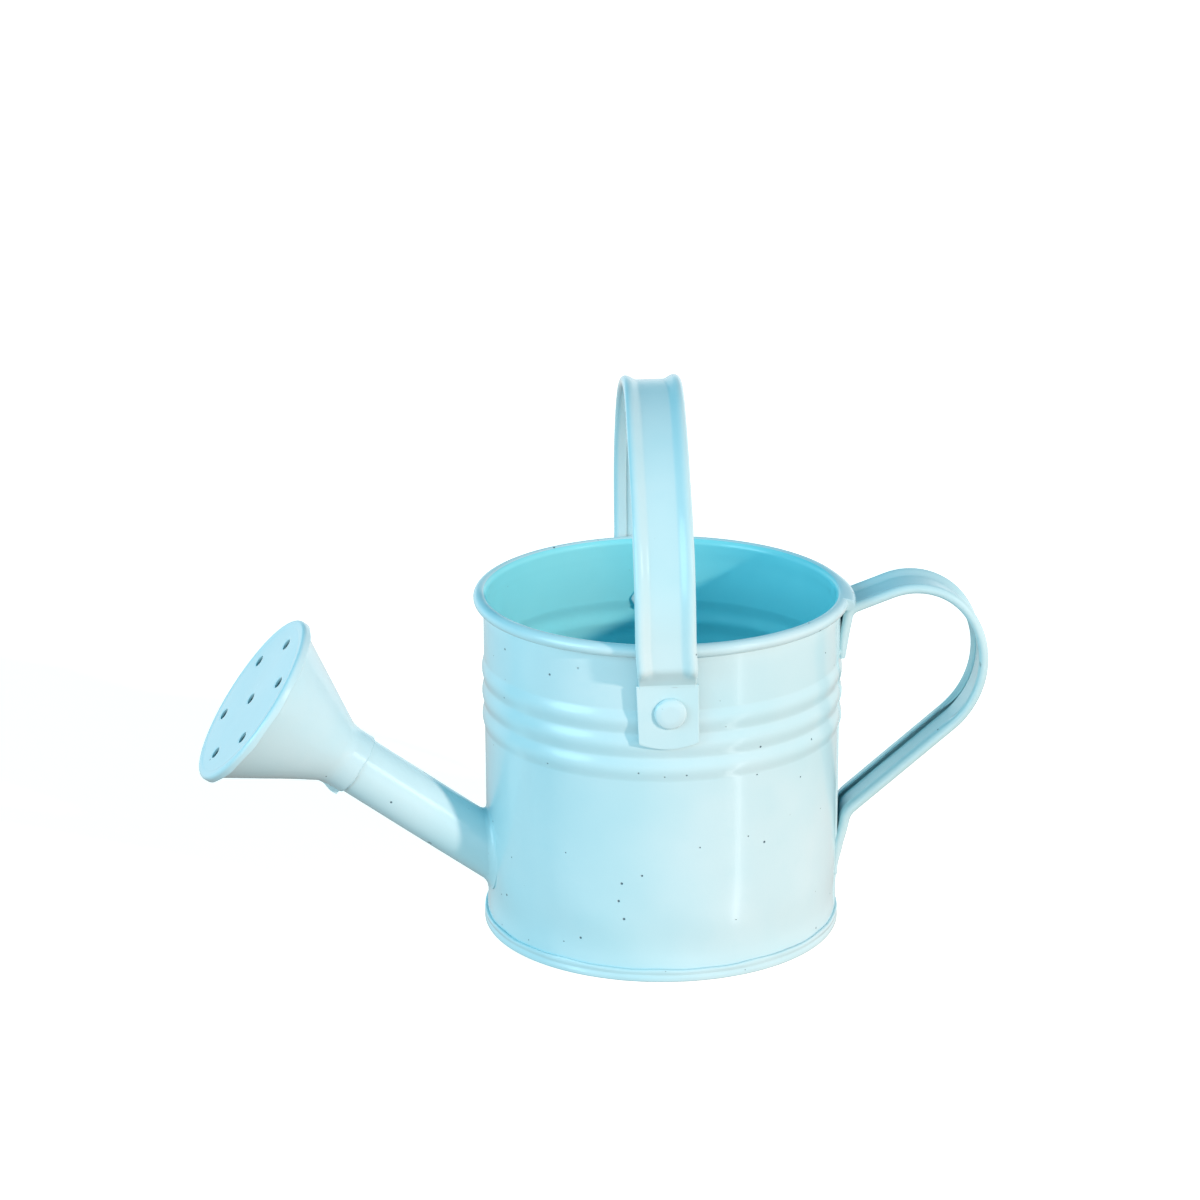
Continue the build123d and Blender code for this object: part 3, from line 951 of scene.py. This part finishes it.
# ---- rivets ----
def make_rivet(name, node, side):
    """A domed rivet: its head outside on the tab, its hollow clinched end inside the can."""
    under = TAB_Y + STRIP_SHEET / 2 + 0.15
    tail = CAN_RADIUS - TIN - 0.3
    shank = RIVET_RADIUS - 0.02
    outline = rounded([
        (0, under + RIVET_DOME, 0),
        (2.6, under + RIVET_DOME - 0.04, 4.0),
        (RIVET_HEAD - 0.35, under + RIVET_DOME - 0.45, 0.9),
        (RIVET_HEAD, under, 0.25),
        (shank, under, 0.1),
        (shank, tail, 0.15),
        (RIVET_TAIL, tail - 0.05, 0.3),
        (RIVET_TAIL - 0.05, tail - 0.75, 0.35),
        (2.1, tail - 0.9, 0.35),
        (RIVET_HOLLOW, tail - 0.2, 0.4),
        (RIVET_HOLLOW, tail + 3.1, 0.3),
        (0, tail + 3.2, 0),
    ], 0.25, closed=True)

    def uneven(turn, radius, height):
        at_tail = smooth((tail - height) / 0.4) * (radius > 2.0)
        crimp = 0.12 * np.sin(6 * turn + side) + 0.08 * np.sin(4 * turn + 1)
        at_head = smooth((height - under - 0.1) / 0.8) * smooth(radius / 3)
        radius = radius + crimp * at_tail + 0.05 * np.sin(2 * turn + 0.5) * at_head
        return radius, height + 0.03 * np.sin(turn) * at_head

    verts, faces = lathe(outline, even_turn(120), uneven)
    if side < 0:
        off = smooth((verts[:, 2:] - under + 0.3) / 0.3)
        verts[:, :2] += off * RIVET_OFF_CENTRE
    origin = np.array([PIVOT[0], 0, PIVOT[1]])
    obj = plain_object(name, placed(verts, origin, X, -side * Z, side * Y), faces)
    piece(obj, "can", [node], "rivet_paint", rivet_paint)


# ---- side handle ----
def grip_line():
    """The side handle's middle line as (x, z) points, and its heading at each of them."""
    at = np.array(GRIP_START)
    heading = GRIP_HEADING
    points, headings = [], []
    for radius, value in GRIP_RUNS:
        turn = math.radians(heading)
        ahead = np.array([math.cos(turn), math.sin(turn)])
        if radius == 0:
            count = max(2, round(value / 0.5))
            for share in np.linspace(0, 1, count, endpoint=False):
                points.append(at + ahead * value * share)
                headings.append(heading)
            at = at + ahead * value
            continue
        side = 1 if value > heading else -1
        centre = at + np.array([-ahead[1], ahead[0]]) * radius * side
        count = max(8, round(abs(value - heading) / 2.2))
        for share in np.linspace(0, 1, count, endpoint=False):
            angle = heading + (value - heading) * share
            spoke = math.radians(angle - 90 * side)
            points.append(centre + radius * np.array([math.cos(spoke), math.sin(spoke)]))
            headings.append(angle)
        heading = value
        spoke = math.radians(value - 90 * side)
        at = centre + radius * np.array([math.cos(spoke), math.sin(spoke)])
    points.append(at)
    headings.append(heading)
    return np.array(points), np.radians(headings)


def make_side_handle():
    """The looped strip, its ends bent along the wall, and its spot welds."""
    line, headings = grip_line()
    # a strip bent by hand tilts gradually, so the headings are eased
    kernel = np.ones(5) / 5
    padded = np.concatenate([[headings[0]] * 2, headings, [headings[-1]] * 2])
    headings = np.convolve(padded, kernel, "valid")
    length = lengths(line)
    from_end = np.minimum(length, length[-1] - length)
    leg_start = length[np.argmax(headings < GRIP_LEG_HEADING)]
    centres, outs, sections = [], [], []
    for (x, z), heading, s, e in zip(line, headings, length, from_end):
        out = np.array([-math.sin(heading), 0, math.cos(heading)])
        centres.append([x, 0.12 * math.sin(s / 30), z])
        outs.append(out)
        # both ends are squashed, the lower one flat against the wall
        lower = s > length[-1] / 2
        if lower:
            squash = float(1 - smooth((e - 1.5) / 8.0))
            crest = STRIP_CREST - 1.12 * squash
            hem = STRIP_HEM - 0.5 * squash
        else:
            squash = float(1 - smooth(e / 6.0))
            crest = STRIP_CREST - 0.6 * squash
            hem = STRIP_HEM - 0.2 * squash
        slit = float(smooth((s - leg_start) / 9) * smooth((length[-1] - s - 12) / 5))
        lip_gap = (0.95 * slit - 0.42) * (1 - squash) - 0.12 * squash * lower
        width = SIDE_WIDTH + 0.08 * math.sin(s / 11) + 0.05 * math.sin(s / 4.1)
        sheet = STRIP_SHEET * float(end_rounding(e))
        section = strip_section(width, crest, hem, lip_gap, sheet)
        # near the wall the section bends round it
        wrap = float(1 - smooth((e - 4) / 12))
        towards_wall = -1 if out[0] > 0 else 1
        round_wall = CAN_RADIUS - np.sqrt(CAN_RADIUS**2 - section[:, 0] ** 2)
        section[:, 1] += towards_wall * wrap * round_wall
        sections.append(section)
    parts = [strip_mesh(np.array(centres), np.array(outs), Y, sections)]
    # the spot welds between the strip's ends and the wall
    pip = rounded([
        (0, -PIP_HALF_LENGTH, 0),
        (PIP_RADIUS, -PIP_HALF_LENGTH, 0.1),
        (PIP_RADIUS, PIP_HALF_LENGTH, 0.1),
        (0, PIP_HALF_LENGTH, 0),
    ], 0.5, closed=True)
    verts, faces = lathe(pip, even_turn(24))
    edge_y = SIDE_WIDTH / 2 - STRIP_SHEET / 2 - (STRIP_CREST + STRIP_HEM) / 2
    for z in PIP_HEIGHTS:
        for side in (-1, 1):
            origin = np.array([CAN_RADIUS - PIP_SINK, side * edge_y, z])
            parts.append((placed(verts, origin, Y, Z, X), faces))
    handle = plain_object("side_handle", *join(*parts))
    piece(handle, "can", ["side_handle"], "handle_paint", handle_paint)


make_wall()
make_base()
make_spout()
make_solder()
make_rose_cone()
make_rose_face()
make_bail()
make_rivet("rivet_front", "front_rivet", -1)
make_rivet("rivet_back", "back_rivet", 1)
make_side_handle()


# ---- stage, light and camera, in metres ----
FLOOR_HALF = 6.0
FLOOR_TONE = (0.93, 0.93, 0.93)
FLOOR_GLOW = (1.0, 0.90, 0.80)
FLOOR_GLOW_STRENGTH = 0.75

KEY_FROM = (48, 18)
KEY_COLOUR = (1.0, 0.64, 0.53)
KEY_STRENGTH = 2.6
SHEEN_STRENGTH = 0.2
FILL_FROM = (-62, 18)
FILL_DISTANCE = 1.6
FILL_COLOUR = (0.48, 0.84, 1.0)
FILL_POWER = 10.5
SKY_STRENGTH = 1.40

STREAK_AZIMUTH = 21.7
CARD_AZIMUTH = 46.6
CARD_NEAR = (0.03, 0.0025)            # how far out from the can's side, and half its width there
CARD_FAR = (0.8, 0.017)
CARD_HEIGHT = 0.002
CARD_GLOW_STRENGTH = 4.0

CAMERA_AZIMUTH = -3.2
CAMERA_ELEVATION = 17.682
CAMERA_DISTANCE = 1.0355
CAMERA_LENS = 107.39
CAMERA_ROLL = 0.0039
CAMERA_RIGHT = 0.0172417
CAMERA_UP = -0.090199


def stage_sheet(name, corners, base, glow, strength):
    """A four-cornered sheet for the stage that glows of itself."""
    mesh = bpy.data.meshes.new(name)
    mesh.from_pydata(corners, [], [(0, 1, 2, 3)])
    sheet = bpy.data.objects.new(name, mesh)
    bpy.context.scene.collection.objects.link(sheet)
    material = bpy.data.materials.new(name)
    material.use_nodes = True
    shader = material.node_tree.nodes["Principled BSDF"]
    shader.inputs["Base Color"].default_value = (*base, 1)
    shader.inputs["Emission Color"].default_value = (*glow, 1)
    shader.inputs["Emission Strength"].default_value = strength
    mesh.materials.append(material)
    sheet.visible_diffuse = False
    return sheet


def make_floor():
    """A plain pale floor, kept out of the paint's gloss and bounced light."""
    size = FLOOR_HALF
    corners = [(-size, -size, 0), (size, -size, 0), (size, size, 0), (-size, size, 0)]
    floor = stage_sheet("floor", corners, FLOOR_TONE, FLOOR_GLOW, FLOOR_GLOW_STRENGTH)
    shader = floor.data.materials[0].node_tree.nodes["Principled BSDF"]
    shader.inputs["Roughness"].default_value = 0.7
    shader.inputs["Specular IOR Level"].default_value = 0.2
    floor.visible_glossy = False


def towards(azimuth, elevation):
    """The direction to a light or the camera, in degrees: azimuth 0 is -Y and 90 is +X."""
    a, e = math.radians(azimuth), math.radians(elevation)
    return Vector((math.sin(a) * math.cos(e), -math.cos(a) * math.cos(e), math.sin(e)))


def add_light(name, kind, place, facing, colour, energy):
    light = bpy.data.lights.new(name, kind)
    light.energy = energy
    light.color = colour
    obj = bpy.data.objects.new(name, light)
    obj.location = place
    obj.rotation_euler = Vector(facing).to_track_quat("-Z", "Y").to_euler()
    bpy.context.scene.collection.objects.link(obj)
    return obj


def make_sky():
    """A soft pale surround: dim warm ground, a bright horizon and an even sky."""
    world = bpy.data.worlds.new("studio")
    world.use_nodes = True
    tree = world.node_tree
    coords = tree.nodes.new("ShaderNodeTexCoord")
    split = tree.nodes.new("ShaderNodeSeparateXYZ")
    height = tree.nodes.new("ShaderNodeMapRange")
    height.inputs["From Min"].default_value = -1
    ramp = tree.nodes.new("ShaderNodeValToRGB")
    tree.links.new(coords.outputs["Generated"], split.inputs[0])
    tree.links.new(split.outputs["Z"], height.inputs["Value"])
    tree.links.new(height.outputs["Result"], ramp.inputs["Fac"])
    background = tree.nodes["Background"]
    background.inputs["Strength"].default_value = SKY_STRENGTH
    tree.links.new(ramp.outputs["Color"], background.inputs["Color"])
    stops = [
        (0.0, (0.20, 0.20, 0.19)),
        (0.25, (0.27, 0.25, 0.24)),
        (0.38, (0.62, 0.60, 0.58)),
        (0.50, (0.76, 0.85, 0.88)),
        (0.54, (0.74, 0.87, 0.91)),
        (0.62, (0.38, 0.55, 0.62)),
        (0.75, (0.12, 0.31, 0.39)),
        (1.0, (0.05, 0.24, 0.33)),
    ]
    elements = ramp.color_ramp.elements
    while len(elements) < len(stops):
        elements.new(0.5)
    for element, (place, colour) in zip(elements, stops):
        element.position = place
        element.color = (*colour, 1)
    bpy.context.scene.world = world


def make_card():
    """A low bright card that shows only as a streak in the paint's gloss."""
    start = towards(STREAK_AZIMUTH, 0) * CAN_RADIUS * MM + Vector((0, 0, CARD_HEIGHT))
    ahead = towards(CARD_AZIMUTH, 0)
    aside = Vector((-ahead.y, ahead.x, 0))
    corners = []
    for reach, half, sides in ((*CARD_NEAR, (-1, 1)), (*CARD_FAR, (1, -1))):
        for side in sides:
            corners.append(start + ahead * reach + aside * half * side)
    card = stage_sheet("card", corners, (0, 0, 0), (1, 1, 1), CARD_GLOW_STRENGTH)
    card.visible_camera = False
    card.visible_shadow = False


def make_light():
    """A warm low sun on the right, a cool soft fill on the left, and the card."""
    make_sky()
    to_key = towards(*KEY_FROM)
    key = add_light("key", "SUN", (0, 0, 1), -to_key, KEY_COLOUR, KEY_STRENGTH)
    key.data.angle = math.radians(3)
    key.visible_glossy = False
    # the key's gloss is kept apart, broad and weak
    sheen = add_light("sheen", "SUN", (0, 0, 1), -to_key, (1.0, 1.0, 1.0), SHEEN_STRENGTH)
    sheen.data.angle = math.radians(14)
    sheen.visible_diffuse = False
    to_fill = towards(*FILL_FROM)
    fill = add_light("fill", "AREA", to_fill * FILL_DISTANCE, -to_fill, FILL_COLOUR, FILL_POWER)
    fill.data.shape = "DISK"
    fill.data.size = 1.0
    make_card()


def make_camera():
    """The camera, shifted sideways and up so that the can sits where it should in the frame."""
    back = towards(CAMERA_AZIMUTH, CAMERA_ELEVATION)
    right = towards(CAMERA_AZIMUTH + 90, 0)
    up = back.cross(right)
    c, s = math.cos(CAMERA_ROLL), math.sin(CAMERA_ROLL)
    rolled_right = c * right - s * up
    rolled_up = s * right + c * up
    camera = bpy.data.cameras.new("camera")
    camera.lens = CAMERA_LENS
    camera.sensor_width = 36
    camera.clip_start = 0.01
    camera.clip_end = 50
    obj = bpy.data.objects.new("camera", camera)
    place = CAMERA_DISTANCE * back - CAMERA_RIGHT * right - CAMERA_UP * up
    turn = Matrix((rolled_right, rolled_up, back)).transposed()
    obj.matrix_world = Matrix.Translation(place) @ turn.to_4x4()
    bpy.context.scene.collection.objects.link(obj)
    bpy.context.scene.camera = obj


make_floor()
make_light()
make_camera()
bpy.context.scene.view_settings.view_transform = "Standard"
